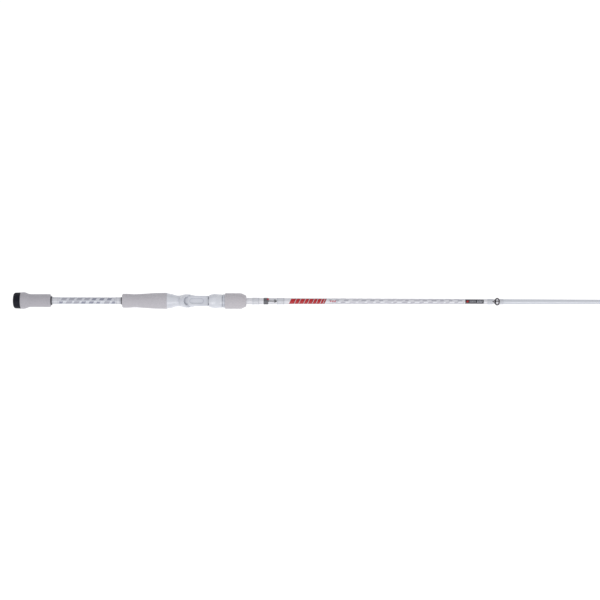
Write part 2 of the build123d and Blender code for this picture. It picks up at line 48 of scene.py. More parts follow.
# the room: white paper sweep, one big soft light from the lower side, a weak one across from it
roomSettings = {
    "floorDrop": 0.42,  # how far the paper lies under the rod, m
    "floorSize": 16.0,
    "paper": (0.93, 0.93, 0.935),
    "paperShades": ((0.92, 0.92, 0.925), (0.94, 0.94, 0.945)),
    "paperGrain": 420.0,
    "paperRoughness": 0.9,
    "paperGlow": 0.30,  # the sweep is lit from behind a little, so it stays white
    "skyColour": (0.985, 0.99, 1.0),
    "skyStrength": 0.60,
    "keyPower": 17.0,
    "keyPlace": (0.42, -1.15, 1.55),
    "keySize": (2.4, 0.9),
    "fillPower": 3.0,
    "fillPlace": (0.6, 1.4, 1.5),
    "fillSize": (2.4, 0.8),
}

cameraSettings = {
    "place": (0.4595, 0.0019, 2.544),
    "turn": (0.0, 0.0, 0.0024),
    "lens": 95.14,
    "clip": (0.01, 60.0),
}


# helpers for finishes


def newFinish(name, colour, roughness, metallic=0.0):
    finish = bpy.data.materials.new(name)
    finish.use_nodes = True
    shader = finish.node_tree.nodes["Principled BSDF"]
    shader.inputs["Base Color"].default_value = (*colour, 1)
    shader.inputs["Roughness"].default_value = roughness
    shader.inputs["Metallic"].default_value = metallic
    finish.diffuse_color = (*colour, 1)
    return finish, finish.node_tree.nodes, finish.node_tree.links, shader


def sums(nodes, links, operation, first, second=None, third=None):
    node = nodes.new("ShaderNodeMath")
    node.operation = operation
    for i, value in enumerate((first, second, third)):
        if value is None:
            continue
        if isinstance(value, (int, float)):
            node.inputs[i].default_value = value
        else:
            links.new(value, node.inputs[i])
    return node.outputs[0]


def pointOn(nodes):
    return nodes.new("ShaderNodeTexCoord").outputs["Object"]


# where a point is, how far along the rod and at what angle round it
def rodPlace(nodes, links):
    position = pointOn(nodes)
    split = nodes.new("ShaderNodeSeparateXYZ")
    links.new(position, split.inputs[0])
    along, across, up = split.outputs
    angle = sums(nodes, links, "ARCTAN2", across, up)
    return position, along, angle


def noiseAt(nodes, links, vector, scale, detail=3.0, rough=0.55):
    texture = nodes.new("ShaderNodeTexNoise")
    texture.inputs["Scale"].default_value = scale
    texture.inputs["Detail"].default_value = detail
    texture.inputs["Roughness"].default_value = rough
    links.new(vector, texture.inputs["Vector"])
    return texture.outputs["Fac"]


def ramp(nodes, links, factor, stops):
    node = nodes.new("ShaderNodeValToRGB")
    links.new(factor, node.inputs[0])
    line = node.color_ramp
    line.elements[0].position, line.elements[0].color = stops[0][0], (*stops[0][1], 1)
    line.elements[1].position, line.elements[1].color = stops[-1][0], (*stops[-1][1], 1)
    for position, colour in stops[1:-1]:
        line.elements.new(position).color = (*colour, 1)
    return node.outputs[0]


def mixed(nodes, links, factor, first, second, kind="MIX"):
    node = nodes.new("ShaderNodeMix")
    node.data_type = "RGBA"
    node.blend_type = kind
    for i, value in ((0, factor), (6, first), (7, second)):
        if isinstance(value, tuple):
            node.inputs[i].default_value = (*value, 1)
        elif isinstance(value, (int, float)):
            node.inputs[i].default_value = value
        else:
            links.new(value, node.inputs[i])
    return node.outputs[2]


def spread(nodes, links, value, low, high, newLow, newHigh):
    node = nodes.new("ShaderNodeMapRange")
    for i, number in ((1, low), (2, high), (3, newLow), (4, newHigh)):
        node.inputs[i].default_value = number
    links.new(value, node.inputs[0])
    return node.outputs[0]


def bumped(nodes, links, shader, height, distance, strength=1.0, socket="Normal", before=None):
    node = nodes.new("ShaderNodeBump")
    node.inputs["Distance"].default_value = distance
    node.inputs["Strength"].default_value = strength
    links.new(height, node.inputs["Height"])
    if before is not None:
        links.new(before, node.inputs["Normal"])
    links.new(node.outputs[0], shader.inputs[socket])
    return node.outputs[0]


# colours from their usual six-digit codes, one alone or several as a list
def shades(*hexes):
    out = []
    for text in hexes:
        parts = [int(text[i:i + 2], 16) / 255 for i in (0, 2, 4)]
        out.append(tuple(c / 12.92 if c <= 0.04045 else ((c + 0.055) / 1.055) ** 2.4 for c in parts))
    return out if len(out) > 1 else out[0]


def dress(names, finish):
    for name in names:
        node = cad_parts[name]
        node.data.materials.clear()
        node.data.materials.append(finish)


# the blank: (place along it, diameter), both in mm
blankSettings = {
    "taper": [(5.0, 11.2), (170.0, 11.0), (375.0, 10.55), (580.0, 9.0), (840.0, 8.05), (940.0, 7.2)],
    "tipDiameter": 1.9,
    "start": 5.0,
    "paintEnd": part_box("guide_1_wrap")[1].x / mm - 2.0,  # under the first guide's front wrap
    "around": 96,
    "step": 4.0,
}
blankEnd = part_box("rod_blank")[1].x / mm
taper = blankSettings["taper"] + [(blankEnd, blankSettings["tipDiameter"])]


def blankRadius(x):
    for (x0, d0), (x1, d1) in zip(taper, taper[1:]):
        if x <= x1:
            return (d0 + (d1 - d0) * (x - x0) / (x1 - x0)) / 2
    return blankSettings["tipDiameter"] / 2


# turns an outline of (along, radius) points round the rod; shape can move each point
def turnedPiece(name, outline, around, finish, closed=False, shape=None, sharp=40.0):
    points, faces, rings = [], [], []
    for x, radius in outline:
        if radius < 0.001:
            rings.append([len(points)] * around)
            points.append((x * mm, 0.0, 0.0))
            continue
        ring = []
        for k in range(around):
            angle = 2 * math.pi * k / around
            r = shape(x, angle, radius) if shape else radius
            ring.append(len(points))
            points.append((x * mm, r * mm * math.sin(angle), r * mm * math.cos(angle)))
        rings.append(ring)
    pairs = list(zip(rings, rings[1:]))
    if closed:
        pairs.append((rings[-1], rings[0]))
    for first, second in pairs:
        for k in range(around):
            n = (k + 1) % around
            corners = [first[k], first[n], second[n], second[k]]
            corners = list(dict.fromkeys(corners))
            if len(corners) > 2:
                faces.append(corners)
    mesh = bpy.data.meshes.new(name)
    mesh.from_pydata(points, [], faces)
    mesh.validate()
    piece = bpy.data.objects.new(name, mesh)
    bpy.context.scene.collection.objects.link(piece)
    turnOutward(piece)
    mesh.shade_smooth()
    mesh.set_sharp_from_angle(angle=math.radians(sharp))
    mesh.materials.append(finish)
    return piece


def turnOutward(piece):
    work = bmesh.new()
    work.from_mesh(piece.data)
    bmesh.ops.recalc_face_normals(work, faces=work.faces[:])
    work.to_mesh(piece.data)
    work.free()


# part of a circle, as points of an outline
def roundCorner(centre, radius, startAngle, endAngle, steps=6):
    out = []
    for i in range(steps + 1):
        a = math.radians(startAngle + (endAngle - startAngle) * i / steps)
        out.append((centre[0] + radius * math.cos(a), centre[1] + radius * math.sin(a)))
    return out


# a smooth line through points
def smoothThrough(points, step):
    out, slopes = [], []
    for i in range(len(points)):
        a, b = points[max(i - 1, 0)], points[min(i + 1, len(points) - 1)]
        slopes.append((b[1] - a[1]) / (b[0] - a[0]))
    for i in range(len(points) - 1):
        (x0, y0), (x1, y1) = points[i], points[i + 1]
        count = max(1, round((x1 - x0) / step))
        for k in range(count):
            t = k / count
            h = x1 - x0
            a = (1 + 2 * t) * (1 - t) ** 2 * y0 + t * (1 - t) ** 2 * h * slopes[i]
            b = t * t * (3 - 2 * t) * y1 + t * t * (t - 1) * h * slopes[i + 1]
            out.append((x0 + t * h, a + b))
    out.append(points[-1])
    return out


# a line bent between four points
def bentLine(xs, ys, steps, first=0):
    out = []
    for i in range(first, steps + 1):
        t = i / steps
        weights = ((1 - t) ** 3, 3 * t * (1 - t) ** 2, 3 * t * t * (1 - t), t ** 3)
        out.append((sum(w * x for w, x in zip(weights, xs)), sum(w * y for w, y in zip(weights, ys))))
    return out


# how finely printed marks are divided, mm, and how far their rims stand off the blank
printSettings = {"acrossStep": 0.25, "alongStep": 1.5, "rimLift": 0.004}


# a thin printed mark on the blank: corners are (along, across) in mm, across is measured round it
def addMark(points, faces, corners, lift):
    start = len(points)
    (ax, aw), (bx, bw), (cx, cw), (dx, dw) = corners
    rowsAcross = max(4, math.ceil(abs(cw - bw) / printSettings["acrossStep"]))
    columns = max(4, math.ceil(abs(bx - ax) / printSettings["alongStep"]))
    width = columns + 3
    for j in range(rowsAcross + 3):
        for i in range(columns + 3):
            s = min(max(i - 1, 0), columns) / columns
            t = min(max(j - 1, 0), rowsAcross) / rowsAcross
            x = (ax * (1 - s) + bx * s) * (1 - t) + (dx * (1 - s) + cx * s) * t
            w = (aw * (1 - s) + bw * s) * (1 - t) + (dw * (1 - s) + cw * s) * t
            edge = i in (0, columns + 2) or j in (0, rowsAcross + 2)
            base = blankRadius(x)
            r = base + (printSettings["rimLift"] if edge else lift)
            angle = w / base
            points.append((x * mm, r * mm * math.sin(angle), r * mm * math.cos(angle)))
    for j in range(rowsAcross + 2):
        for i in range(columns + 2):
            k = start + j * width + i
            faces.append((k, k + 1, k + width + 1, k + width))


def printedPiece(name, marks, finish, lift):
    points, faces = [], []
    for corners in marks:
        addMark(points, faces, corners, lift)
    mesh = bpy.data.meshes.new(name)
    mesh.from_pydata(points, [], faces)
    mesh.validate()
    piece = bpy.data.objects.new(name, mesh)
    bpy.context.scene.collection.objects.link(piece)
    turnOutward(piece)
    mesh.shade_smooth()
    mesh.set_sharp_from_angle(angle=math.radians(50))
    mesh.materials.append(finish)
    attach(piece, "rod")


def slanted(x0, x1, low, high, lean):
    return [(x0, low), (x1, low), (x1 + lean, high), (x0 + lean, high)]


# the room and the camera
room = bpy.data.worlds.new("paperRoom")
bpy.context.scene.world = room
room.use_nodes = True
sky = room.node_tree.nodes["Background"]
sky.inputs[0].default_value = (*roomSettings["skyColour"], 1)
sky.inputs[1].default_value = roomSettings["skyStrength"]
bpy.context.scene.view_settings.view_transform = "Standard"

half, drop = roomSettings["floorSize"] / 2, -roomSettings["floorDrop"]
floorMesh = bpy.data.meshes.new("paperFloor")
corners = [(-half, -half, drop), (half, -half, drop), (half, half, drop), (-half, half, drop)]
floorMesh.from_pydata(corners, [], [(0, 1, 2, 3)])
floor = bpy.data.objects.new("paperFloor", floorMesh)
bpy.context.scene.collection.objects.link(floor)
paper, nodes, links, shader = newFinish("whitePaper", roomSettings["paper"], roomSettings["paperRoughness"])
shader.inputs["Emission Color"].default_value = (1.0, 1.0, 1.0, 1)
shader.inputs["Emission Strength"].default_value = roomSettings["paperGlow"]
grain = noiseAt(nodes, links, pointOn(nodes), roomSettings["paperGrain"], 4.0)
grain = spread(nodes, links, grain, 0.3, 0.7, 0.0, 1.0)
links.new(mixed(nodes, links, grain, *roomSettings["paperShades"]), shader.inputs["Base Color"])
floorMesh.materials.append(paper)

for name, power, place, size in (
    ("keyLight", roomSettings["keyPower"], roomSettings["keyPlace"], roomSettings["keySize"]),
    ("fillLight", roomSettings["fillPower"], roomSettings["fillPlace"], roomSettings["fillSize"]),
):
    lamp = bpy.data.lights.new(name, "AREA")
    lamp.shape = "RECTANGLE"
    lamp.size, lamp.size_y = size
    lamp.energy = power
    holder = bpy.data.objects.new(name, lamp)
    holder.location = place
    aim = Vector((place[0], 0, 0)) - Vector(place)
    holder.rotation_euler = aim.to_track_quat("-Z", "Y").to_euler()
    bpy.context.scene.collection.objects.link(holder)

eye = bpy.data.cameras.new("overhead")
eye.lens = cameraSettings["lens"]
eye.clip_start, eye.clip_end = cameraSettings["clip"]
camera = bpy.data.objects.new("overhead", eye)
camera.location = cameraSettings["place"]
camera.rotation_euler = cameraSettings["turn"]
bpy.context.scene.collection.objects.link(camera)
bpy.context.scene.camera = camera
print("room and camera ready")

# the painted blank: starts, ends and pitches in mm
paintSettings = {
    "pearl": shades("cfd1d9"),
    "pearlWarm": shades("dcdce2"),
    "warmFrom": 0.18,  # the pearl gets warmer from here to there, m
    "warmTo": 0.40,
    "pearlCloud": {"colour": shades("b9bcc8"), "scale": 55.0, "share": 0.18},
    "plain": shades("d3d6de"),
    "plainCloud": {"colour": shades("bfc3cd"), "scale": 40.0, "share": 0.12},
    "flakeScale": 9000.0,
    "roughness": (0.28, 0.40),
    "metallic": 0.08,
    "coat": 0.75,
    "coatRoughness": 0.06,
    "ridgePitch": 2.4,  # the fine spiral ridge of a wrapped blank
    "ridgeDepth": 0.00003,
    "blockFoot": 0.10,  # where a block starts and ends in its row, as shares of the row
    "blockTop": (0.95, 0.75),
    "darkFrom": 0.45,  # blocks with a random number above this are dark
    "wearScale": 1500.0,
    "fade": 0.8,
    "rearCamo": {
        "start": 73.6, "end": 163.5, "rows": 6, "pitch": 12.2, "longest": 0.74, "shortest": 0.44,
        "lean": 0.24, "seed": 3.0, "mid": shades("a3a4b1"), "dark": shades("86889b"),
    },
    "frontCamo": {
        "start": 506.0, "end": 722.0, "rows": 8, "pitch": 14.0, "longest": 0.80, "shortest": 0.40,
        "lean": 0.22, "seed": 11.0, "mid": shades("bfbec8"), "dark": shades("aaa9b5"),
    },
}


# angular blocks in rows round the blank: where a block is, and a random number for each block
def camoBlocks(nodes, links, along, angle, camo):
    turn = sums(nodes, links, "MULTIPLY_ADD", angle, camo["rows"] / (2 * math.pi), camo["rows"] / 2)
    row = sums(nodes, links, "FLOOR", turn)
    inRow = sums(nodes, links, "FRACT", turn)
    rowNoise = nodes.new("ShaderNodeTexWhiteNoise")
    rowNoise.noise_dimensions = "1D"
    links.new(sums(nodes, links, "ADD", row, camo["seed"]), rowNoise.inputs["W"])
    unevenness = sums(nodes, links, "MULTIPLY", rowNoise.outputs["Value"], 0.25)
    stagger = sums(nodes, links, "MULTIPLY_ADD", row, 0.5, unevenness)
    shift = sums(nodes, links, "MULTIPLY_ADD", inRow, -camo["lean"], stagger)
    place = sums(nodes, links, "MULTIPLY_ADD", along, 1 / (camo["pitch"] * mm), shift)
    pick = nodes.new("ShaderNodeCombineXYZ")
    links.new(sums(nodes, links, "FLOOR", place), pick.inputs[0])
    links.new(row, pick.inputs[1])
    pick.inputs[2].default_value = camo["seed"]
    block = nodes.new("ShaderNodeTexWhiteNoise")
    block.noise_dimensions = "3D"
    links.new(pick.outputs[0], block.inputs["Vector"])
    tone = block.outputs["Value"]
    share = spread(nodes, links, tone, 0.0, 1.0, camo["longest"], camo["shortest"])
    inLength = sums(nodes, links, "LESS_THAN", sums(nodes, links, "FRACT", place), share)
    aboveFoot = sums(nodes, links, "GREATER_THAN", inRow, paintSettings["blockFoot"])
    top = spread(nodes, links, tone, 0.0, 1.0, *paintSettings["blockTop"])
    belowTop = sums(nodes, links, "LESS_THAN", inRow, top)
    here = sums(nodes, links, "MULTIPLY", inLength, sums(nodes, links, "MULTIPLY", aboveFoot, belowTop))
    return here, tone


# 1 between two places along the rod, 0 outside them
def between(nodes, links, value, low, high, soft):
    up = spread(nodes, links, value, (low - soft) * mm, (low + soft) * mm, 0, 1)
    down = spread(nodes, links, value, (high - soft) * mm, (high + soft) * mm, 1, 0)
    return sums(nodes, links, "MULTIPLY", up, down)


# clear-coated pearl paint over the fine spiral ridge of the blank
def paintLayers(nodes, links, shader, position, along, angle):
    flake = noiseAt(nodes, links, position, paintSettings["flakeScale"], 1.0)
    rough = spread(nodes, links, flake, 0.35, 0.65, *paintSettings["roughness"])
    links.new(rough, shader.inputs["Roughness"])
    shader.inputs["Coat Weight"].default_value = paintSettings["coat"]
    shader.inputs["Coat Roughness"].default_value = paintSettings["coatRoughness"]
    shader.inputs["Metallic"].default_value = paintSettings["metallic"]
    turnsPerMetre = 2 * math.pi / (paintSettings["ridgePitch"] * mm)
    wave = sums(nodes, links, "SINE", sums(nodes, links, "MULTIPLY_ADD", along, turnsPerMetre, angle))
    peel = noiseAt(nodes, links, position, 700.0, 2.0)
    height = sums(nodes, links, "MULTIPLY_ADD", peel, 0.5, sums(nodes, links, "MULTIPLY", wave, 0.25))
    bumped(nodes, links, shader, height, paintSettings["ridgeDepth"], 0.6)
    return flake


def clouded(nodes, links, position, base, cloud):
    patches = noiseAt(nodes, links, position, cloud["scale"], 2.0)
    patches = spread(nodes, links, patches, 0.35, 0.65, 0.0, 1.0)
    return mixed(nodes, links, sums(nodes, links, "MULTIPLY", patches, cloud["share"]), base, cloud["colour"])


def patternedPaint():
    finish, nodes, links, shader = newFinish("patternedPaint", paintSettings["pearl"], 0.32)
    position, along, angle = rodPlace(nodes, links)
    flake = paintLayers(nodes, links, shader, position, along, angle)
    warmth = spread(nodes, links, along, paintSettings["warmFrom"], paintSettings["warmTo"], 0, 1)
    base = mixed(nodes, links, warmth, paintSettings["pearl"], paintSettings["pearlWarm"])
    base = clouded(nodes, links, position, base, paintSettings["pearlCloud"])
    for camo in (paintSettings["rearCamo"], paintSettings["frontCamo"]):
        here, tone = camoBlocks(nodes, links, along, angle, camo)
        zone = between(nodes, links, along, camo["start"], camo["end"], paintSettings["fade"])
        worn = noiseAt(nodes, links, position, paintSettings["wearScale"], 2.0)
        worn = spread(nodes, links, worn, 0.36, 0.46, 0.7, 1.0)
        amount = sums(nodes, links, "MULTIPLY", sums(nodes, links, "MULTIPLY", here, zone), worn)
        isDark = sums(nodes, links, "GREATER_THAN", tone, paintSettings["darkFrom"])
        base = mixed(nodes, links, amount, base, mixed(nodes, links, isDark, camo["mid"], camo["dark"]))
    glint = spread(nodes, links, flake, 0.40, 0.60, 0.94, 1.05)
    links.new(mixed(nodes, links, 1.0, base, glint, "MULTIPLY"), shader.inputs["Base Color"])
    return finish


def plainPaint():
    finish, nodes, links, shader = newFinish("plainPaint", paintSettings["plain"], 0.32)
    position, along, angle = rodPlace(nodes, links)
    flake = paintLayers(nodes, links, shader, position, along, angle)
    base = clouded(nodes, links, position, paintSettings["plain"], paintSettings["plainCloud"])
    glint = spread(nodes, links, flake, 0.40, 0.60, 0.95, 1.04)
    links.new(mixed(nodes, links, 1.0, base, glint, "MULTIPLY"), shader.inputs["Base Color"])
    return finish


def blankPiece(name, start, end, finish):
    count = math.ceil((end - start) / blankSettings["step"])
    places = [start + (end - start) * i / count for i in range(count + 1)]
    outline = [(start, 0.0)] + [(x, blankRadius(x)) for x in places] + [(end, 0.0)]
    piece = turnedPiece(name, outline, blankSettings["around"], finish)
    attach(piece, "rod")
    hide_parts("rod_blank")


blankPiece("blankPatterned", blankSettings["start"], blankSettings["paintEnd"], patternedPaint())
blankPiece("blankPlain", blankSettings["paintEnd"], blankEnd, plainPaint())
print("blank painted")

# thread wraps under clear resin: widths in mm
threadSettings = {
    "threadWidth": 0.30,
    "pale": shades("d9dae0"),
    "paleShade": shades("b9bbc6"),
    "dark": shades("2b2c33"),
    "darkShade": shades("55565f"),
    "guide": shades("d5d7de"),
    "guideShade": shades("b4b7c2"),
    "silver": shades("b4b6c0"),
    "bandInset": 1.4,
    "bandWidth": 0.7,
    "bandFade": 0.05,
    "humpDepth": 0.00006,
    "dripDepth": 0.0003,
}


def threadFinish(name, light, shade, bands=()):
    finish, nodes, links, shader = newFinish(name, light, 0.42)
    position, along, angle = rodPlace(nodes, links)
    turns = sums(nodes, links, "MULTIPLY_ADD", along, 1 / (threadSettings["threadWidth"] * mm),
                 sums(nodes, links, "MULTIPLY", angle, 1 / (2 * math.pi)))
    inTurn = sums(nodes, links, "FRACT", turns)
    hump = sums(nodes, links, "SINE", sums(nodes, links, "MULTIPLY", inTurn, math.pi))
    fibre = noiseAt(nodes, links, position, 5200.0, 2.0)
    depth = sums(nodes, links, "MULTIPLY_ADD", fibre, 0.35, sums(nodes, links, "MULTIPLY", hump, 0.75))
    # painted shade: each turn of thread goes from its shade colour in the grooves between turns to its light
    # colour on the crown, with some random fibre tone
    colour = mixed(nodes, links, spread(nodes, links, depth, 0.25, 0.75, 0, 1), shade, light)
    for start, end, band in bands:
        inBand = between(nodes, links, along, start, end, threadSettings["bandFade"])
        colour = mixed(nodes, links, inBand, colour, band)
    links.new(colour, shader.inputs["Base Color"])
    shader.inputs["Coat Weight"].default_value = 1.0
    shader.inputs["Coat Roughness"].default_value = 0.05
    shader.inputs["Sheen Weight"].default_value = 0.12
    bumped(nodes, links, shader, hump, threadSettings["humpDepth"], 0.7)
    drip = noiseAt(nodes, links, position, 160.0, 2.0)
    bumped(nodes, links, shader, drip, threadSettings["dripDepth"], 0.35, "Coat Normal")
    return finish


# two silver bands, one near each end of a wrap
def trimBands(node):
    low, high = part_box(node)
    start, end = low.x / mm, high.x / mm
    inset, width, silver = threadSettings["bandInset"], threadSettings["bandWidth"], threadSettings["silver"]
    return [(start + inset, start + inset + width, silver), (end - inset - width, end - inset, silver)]


paleThread = (threadSettings["pale"], threadSettings["paleShade"])
for node in ("butt_trim_wrap", "rear_trim_wrap", "fore_trim_wrap"):
    dress([node], threadFinish(node + "Thread", *paleThread, trimBands(node)))
keeperThread = threadFinish("keeperPaleThread", *paleThread, trimBands("keeper_front_wrap"))
dress(["keeper_front_wrap"], keeperThread)
darkThread = threadFinish("keeperDarkThread", threadSettings["darkShade"], threadSettings["dark"])
dress(["keeper_rear_wrap"], darkThread)
guideWraps = [f"guide_{i}_wrap" for i in range(1, 10)] + ["tip_top_wrap"]
guideThread = threadFinish("guideThread", threadSettings["guide"], threadSettings["guideShade"])
dress(guideWraps, guideThread)
print("wraps dressed")

# butt cap
rubberSettings = {
    "dark": shades("080a14"),
    "light": shades("181a29"),
    "scuffed": shades("252735"),
    "grainScale": 2600.0,
    "grainDepth": 0.00012,
    "shine": 0.2,
}

# check rings: lengths in mm, notches measured from the grip's side
checkSettings = {
    "light": shades("5b5b62"),
    "dark": shades("2c2c32"),
    "lineWidth": 0.05,
    "roughness": (0.22, 0.40),
    "chamfer": 0.3,
    "notches": 12,
    "notchShare": 0.36,
    "notchDepth": 0.85,
    "notchStart": 1.0,
    "notchEnd": 2.5,
    "notchWall": 0.02,
    "around": 192,
}
glueFilm = 0.05


def rubberFinish():
    finish, nodes, links, shader = newFinish("capRubber", rubberSettings["dark"], 0.5)
    position = pointOn(nodes)
    grain = noiseAt(nodes, links, position, rubberSettings["grainScale"], 4.0, 0.65)
    scuff = noiseAt(nodes, links, position, 160.0, 4.0)
    speckle = spread(nodes, links, grain, 0.35, 0.7, 0, 1)
    colour = mixed(nodes, links, speckle, rubberSettings["dark"], rubberSettings["light"])
    scuffed = spread(nodes, links, scuff, 0.55, 0.75, 0, 0.45)
    links.new(mixed(nodes, links, scuffed, colour, rubberSettings["scuffed"]), shader.inputs["Base Color"])
    shader.inputs["Specular IOR Level"].default_value = rubberSettings["shine"]
    links.new(spread(nodes, links, scuff, 0.3, 0.7, 0.42, 0.66), shader.inputs["Roughness"])
    bumped(nodes, links, shader, grain, rubberSettings["grainDepth"], 0.8)
    return finish


# turned metal: fine lines round the piece
def ringFinish(name, light, dark, lineWidth, roughness):
    finish, nodes, links, shader = newFinish(name, light, roughness[0], 1.0)
    position, along = rodPlace(nodes, links)[:2]
    lines = nodes.new("ShaderNodeTexNoise")
    lines.noise_dimensions = "1D"
    lines.inputs["Scale"].default_value = 1 / (lineWidth * mm)
    lines.inputs["Detail"].default_value = 3
    links.new(along, lines.inputs["W"])
    smear = noiseAt(nodes, links, position, 330.0, 3.0)
    links.new(mixed(nodes, links, lines.outputs["Fac"], dark, light), shader.inputs["Base Color"])
    links.new(spread(nodes, links, smear, 0.3, 0.7, *roughness), shader.inputs["Roughness"])
    bumped(nodes, links, shader, lines.outputs["Fac"], 0.00004, 0.5)
    return finish


dress(["butt_cap"], rubberFinish())
darkAnodised = ringFinish("darkAnodised", checkSettings["light"], checkSettings["dark"],
                          checkSettings["lineWidth"], checkSettings["roughness"])
dress(["rear_check_ring"], darkAnodised)

low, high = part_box("butt_check_ring")
ringStart, ringEnd, ringOuter = low.x / mm, high.x / mm, high.z / mm
ringBore = blankRadius(ringStart) + glueFilm
notchStart, notchEnd = ringStart + checkSettings["notchStart"], ringStart + checkSettings["notchEnd"]
notchMiddle = ringStart + (checkSettings["notchStart"] + checkSettings["notchEnd"]) / 2
wall, chamfer = checkSettings["notchWall"], checkSettings["chamfer"]
ringOutline = [(ringStart, ringBore)]
ringOutline += [(x, ringOuter) for x in (ringStart, notchStart - wall, notchStart, notchMiddle, notchEnd,
                                         notchEnd + wall, ringEnd - chamfer)]
ringOutline += [(ringEnd, ringOuter - chamfer), (ringEnd, ringBore)]


def notched(x, angle, radius):
    if not notchStart - 0.001 <= x <= notchEnd + 0.001:
        return radius
    share = (angle * checkSettings["notches"] / (2 * math.pi)) % 1.0
    return radius - (checkSettings["notchDepth"] if share < checkSettings["notchShare"] else 0.0)


checkRing = turnedPiece("notchedCheckRing", ringOutline, checkSettings["around"], darkAnodised,
                        closed=True, shape=notched, sharp=30)
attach(checkRing, "rod")
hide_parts("butt_check_ring")
print("cap and check rings done")

# foam grips: walls and drops in mm, the rear grip as (share of its length, wall)
foamSettings = {
    "buttGrip": {"flare": 7.85, "flareEnd": 16.5, "flat": 4.0, "wall": 4.8, "nose": 2.0},
    "rearGrip": [(0.0, 5.75), (0.14, 5.65), (0.27, 5.15), (0.45, 5.75), (0.72, 7.05), (1.0, 7.5)],
    "rearRim": 2.0,
    "foreGrip": {
        "edge": 1.5, "taper": 9.9, "nose": 3.4, "noseDrop": 2.25, "frontDrop": 5.2, "wall": 3.4,
        "sleeve": 10.36, "sleeveLength": 24.5, "cavity": 8.7, "frontPlay": 0.6,
    },
    "borePlay": 0.06,
    "ripple": 0.035,  # how uneven the ground foam is
    "rippleFrom": 7.9,  # surfaces nearer the blank than this stay smooth
    "around": 220,
    "step": 0.7,
    "cellScale": 2100.0,
    "cellDepth": 0.00026,
    "mottleScale": 700.0,
    "mottleDepth": 0.0003,
    "scuffed": shades("c9c6cc"),
    "buttShades": shades("bdbac1", "a8a5ad"),
    "rearShades": shades("cac7cd", "b5b2b9"),
    "foreShades": shades("cdc9ce", "b9b5bb"),
}


def foamFinish(name, light, dark):
    finish, nodes, links, shader = newFinish(name, light, 0.86)
    position = pointOn(nodes)
    cells = nodes.new("ShaderNodeTexVoronoi")
    cells.inputs["Scale"].default_value = foamSettings["cellScale"]
    links.new(position, cells.inputs["Vector"])
    fine = noiseAt(nodes, links, position, 1900.0, 4.0, 0.6)
    mottle = noiseAt(nodes, links, position, foamSettings["mottleScale"], 5.0, 0.7)
    broad = noiseAt(nodes, links, position, 60.0, 2.0)
    colour = mixed(nodes, links, spread(nodes, links, mottle, 0.36, 0.66, 0, 1), dark, light)
    # painted shade: the colour is darkened towards the middle of each foam cell, where the bump sinks the
    # pore
    paintedPoreShade = spread(nodes, links, cells.outputs["Distance"], 0.0, 0.40, 0.75, 0.0)
    colour = mixed(nodes, links, paintedPoreShade, colour, dark)
    scuffed = spread(nodes, links, fine, 0.35, 0.75, 0.0, 0.35)
    colour = mixed(nodes, links, scuffed, colour, foamSettings["scuffed"])
    colour = mixed(nodes, links, spread(nodes, links, broad, 0.45, 0.75, 0.0, 0.2), colour, dark)
    links.new(colour, shader.inputs["Base Color"])
    links.new(spread(nodes, links, fine, 0.3, 0.7, 0.78, 0.95), shader.inputs["Roughness"])
    shader.inputs["Sheen Weight"].default_value = 0.25
    shader.inputs["Sheen Roughness"].default_value = 0.6
    pores = bumped(nodes, links, shader, cells.outputs["Distance"], foamSettings["cellDepth"], 0.7)
    bumped(nodes, links, shader, mottle, foamSettings["mottleDepth"], 0.5, before=pores)
    return finish


def foamRipple(seed):
    amount = foamSettings["ripple"]

    def shape(x, angle, radius):
        if radius < foamSettings["rippleFrom"]:
            return radius
        across, up = radius * math.sin(angle), radius * math.cos(angle)
        broad = noise.noise(Vector((x * 0.55, across * 0.55, up * 0.55 + seed)))
        fine = noise.noise(Vector((x * 1.9, across * 1.9, up * 1.9 - seed)))
        return radius - amount + amount * (0.6 * broad + 0.4 * fine)

    return shape


# the same outline with points no further apart than a step
def denser(outline, step):
    out = []
    for (x0, y0), (x1, y1) in zip(outline, outline[1:]):
        count = max(1, math.ceil(math.hypot(x1 - x0, y1 - y0) / step))
        out += [(x0 + (x1 - x0) * k / count, y0 + (y1 - y0) * k / count) for k in range(count)]
    return out + [outline[-1]]


def foamGrip(name, node, body, outline, finish, seed):
    piece = turnedPiece(name, denser(outline, foamSettings["step"]), foamSettings["around"], finish,
                        closed=True, shape=foamRipple(seed), sharp=60)
    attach(piece, body)
    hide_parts(node)


buttFoam = foamFinish("buttFoam", *foamSettings["buttShades"])
rearFoam = foamFinish("rearFoam", *foamSettings["rearShades"])
foreFoam = foamFinish("foreFoam", *foamSettings["foreShades"])

low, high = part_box("butt_grip")
x0, x1 = low.x / mm, high.x / mm
part = foamSettings["buttGrip"]
core = blankRadius(x0)
bore = core + foamSettings["borePlay"]
flare, body = core + part["flare"], core + part["wall"]
flat, slope = x0 + part["flat"], x0 + part["flareEnd"]
nose = part["nose"]
checkRoom = ringOuter + glueFilm
outline = [(x0, bore), (x0, flare - 0.55), (x0 + 0.12, flare - 0.3), (x0 + 0.45, flare - 0.15)]
outline += bentLine((flat, flat + 5, slope - 6, slope), (flare, flare, body, body), 16)
outline += roundCorner((x1 - nose, body - nose), nose, 90, 0)
outline += [(x1, checkRoom), (ringStart, checkRoom), (ringStart, bore)]
foamGrip("buttGripFoam", "butt_grip", "rod", outline, buttFoam, 3.1)

